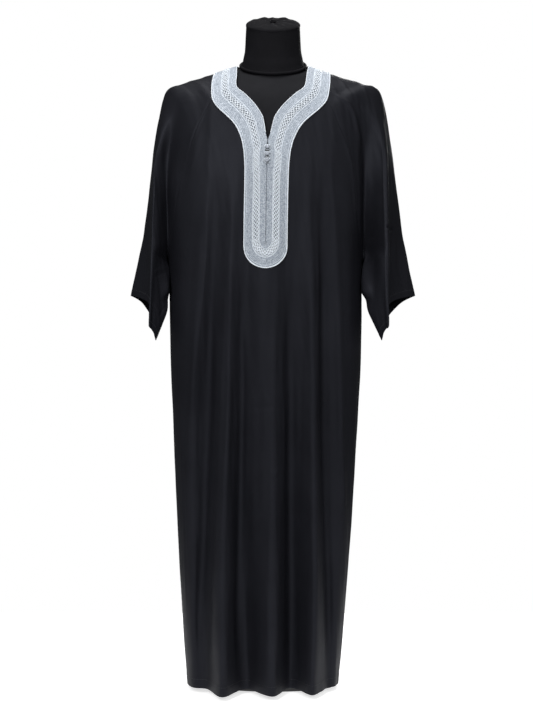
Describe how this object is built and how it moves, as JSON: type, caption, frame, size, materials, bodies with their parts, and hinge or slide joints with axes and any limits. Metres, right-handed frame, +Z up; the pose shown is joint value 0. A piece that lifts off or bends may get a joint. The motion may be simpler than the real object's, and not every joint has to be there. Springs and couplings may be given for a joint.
{
  "type": "kaftan robe on dress form",
  "caption": "Long straight dark robe with wide elbow sleeves, an embroidered neck band with a long tab and knotted buttons, on a limbless dress form with neck, pole and foot.",
  "frame": {"origin": "centre of the underside of the stand's foot, on the floor", "axes": "+Z up, -Y out of the robe's front, +X towards the wearer's left"},
  "size_m": [0.662, 0.2922, 1.5506],
  "materials": {
    "black_cloth": "matt satin weave",
    "band_cloth": "embroidered, slight sheen",
    "piping_cord": "twisted cord, slight sheen",
    "button_cord": "knotted thread",
    "form_jersey": "matt jersey",
    "stand_metal": "black satin paint"
  },
  "bodies": {
    "root": {"front_panel": "black_cloth", "back_panel": "black_cloth", "sleeve_right": "black_cloth", "sleeve_left": "black_cloth", "neck_band": "band_cloth", "outer_piping": "piping_cord", "neck_piping": "piping_cord", "button_1": "button_cord", "button_2": "button_cord", "button_3": "button_cord", "button_loop_1": "button_cord", "button_loop_2": "button_cord", "button_loop_3": "button_cord", "form_torso": "form_jersey", "form_neck": "form_jersey", "form_neck_cap": "form_jersey", "form_neck_ring": "form_jersey", "form_pole": "stand_metal", "form_foot": "stand_metal"}
  },
  "joints": []
}
